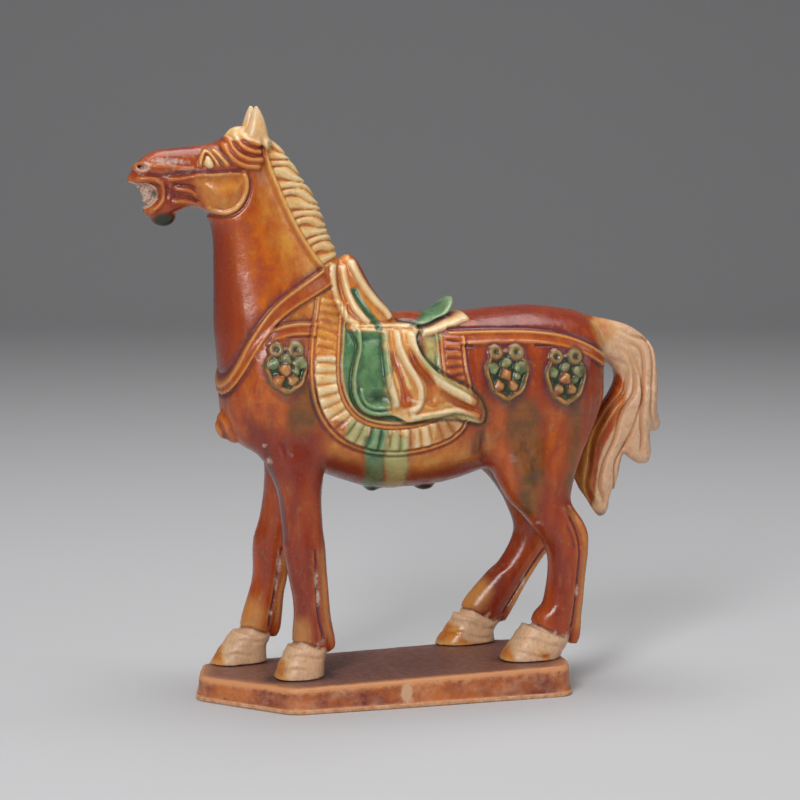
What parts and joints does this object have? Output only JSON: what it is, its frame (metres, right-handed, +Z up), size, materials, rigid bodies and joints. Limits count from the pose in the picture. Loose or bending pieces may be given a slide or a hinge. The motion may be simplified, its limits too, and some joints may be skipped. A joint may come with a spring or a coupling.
{
  "type": "tomb horse figurine",
  "caption": "Glazed pottery tomb horse standing saddled on a thin slab, with raised head, open mouth, harness medallions, fringed blanket and folded saddle cloth.",
  "frame": {"origin": "on the slab's underside, below the middle of the horse", "axes": "+Z up, -X the way the horse looks, -Y its near flank"},
  "size_m": [0.2183, 0.0722, 0.23],
  "materials": {
    "glazed_pottery": "gloss",
    "slab_pottery": "satin"
  },
  "bodies": {
    "root": {"horse": "glazed_pottery", "base": "slab_pottery"}
  },
  "joints": []
}
